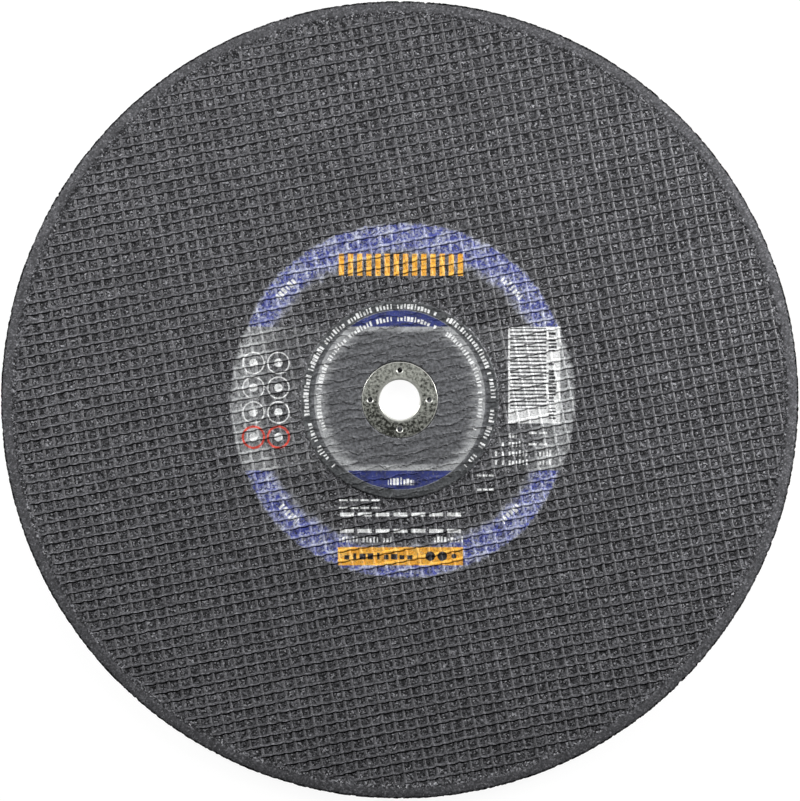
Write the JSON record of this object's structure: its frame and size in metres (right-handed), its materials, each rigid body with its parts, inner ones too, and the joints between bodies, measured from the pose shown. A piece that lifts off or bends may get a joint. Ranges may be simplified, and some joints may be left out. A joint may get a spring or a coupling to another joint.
{
  "type": "cut-off wheel",
  "caption": "Flat round abrasive cut-off wheel with a woven glass net in each face, a paper blotter round the centre and a flanged steel ring in the bore.",
  "frame": {"origin": "on the bore's axis at the rear face, where the wheel rests", "axes": "+Z along the spin axis, out of the printed face; the wheel lies on its rear face"},
  "size_m": [0.3999, 0.4, 0.0045],
  "materials": {
    "grit": "rough pressed resin-bonded grit",
    "glass_net": "resin-soaked woven glass",
    "blotter": "matt pressed paper",
    "ring_steel": "dull zinc-plated sheet steel"
  },
  "bodies": {
    "root": {"abrasive_disc": "grit", "front_glass_mesh": "glass_net", "rear_glass_mesh": "glass_net", "centre_blotter": "blotter", "arbor_ring": "ring_steel"}
  },
  "joints": []
}
